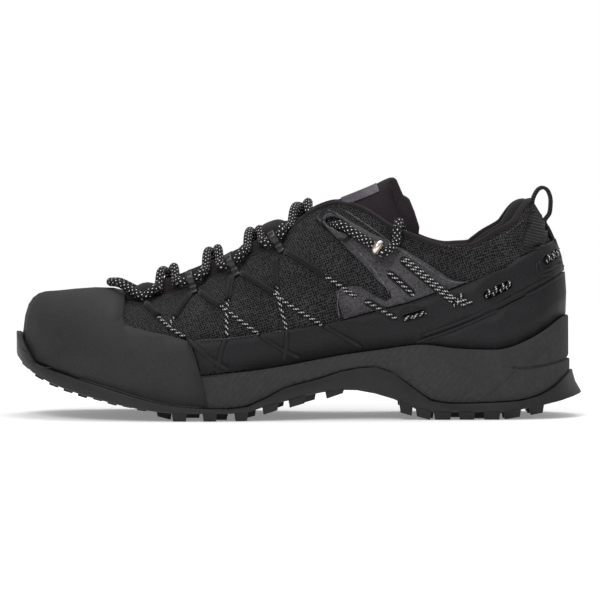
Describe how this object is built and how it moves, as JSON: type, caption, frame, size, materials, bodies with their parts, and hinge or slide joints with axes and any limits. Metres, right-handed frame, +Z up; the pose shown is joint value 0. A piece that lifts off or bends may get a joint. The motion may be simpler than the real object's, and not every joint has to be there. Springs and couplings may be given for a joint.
{
  "type": "approach shoe",
  "caption": "Black low-cut approach shoe for the left foot, with a rubber toe rand, knit upper, lace-to-toe lacing and a lugged rubber outsole.",
  "frame": {"origin": "on the floor, under the middle of the heel", "axes": "+X towards the heel along the shoe, +Y towards the inner side, +Z up"},
  "size_m": [0.303, 0.1018, 0.1276],
  "materials": {
    "outsole_rubber": "satin",
    "midsole_foam": "matte",
    "insole_foam": "matte",
    "knit": "matte",
    "rand_rubber": "matte",
    "side_film": "matte",
    "grey_film": "satin",
    "webbing": "matte",
    "tongue_fabric": "matte",
    "label": "satin",
    "lace_yarn": "matte",
    "loop": "satin",
    "ring_steel": "polished"
  },
  "bodies": {
    "root": {"outsole": "outsole_rubber", "midsole": "midsole_foam", "insole": "insole_foam", "upper": "knit", "toe_rand": "rand_rubber", "side_panel_lateral": "side_film", "side_panel_medial": "side_film", "heel_counter": "side_film", "eyestay_film_lateral": "grey_film", "eyestay_film_medial": "grey_film", "heel_webbing_lateral": "webbing", "heel_webbing_medial": "webbing", "tongue": "tongue_fabric", "tongue_label": "label", "pull_loop": "webbing", "lace_loop_lateral_1": "loop", "lace_loop_lateral_2": "loop", "lace_loop_lateral_3": "loop", "ring_eyelet_lateral": "ring_steel", "lace_end_lateral": "lace_yarn", "side_cords_lateral": "lace_yarn", "lace_loop_medial_1": "loop", "lace_loop_medial_2": "loop", "lace_loop_medial_3": "loop", "ring_eyelet_medial": "ring_steel", "lace_end_medial": "lace_yarn", "side_cords_medial": "lace_yarn", "lace": "lace_yarn"}
  },
  "joints": []
}
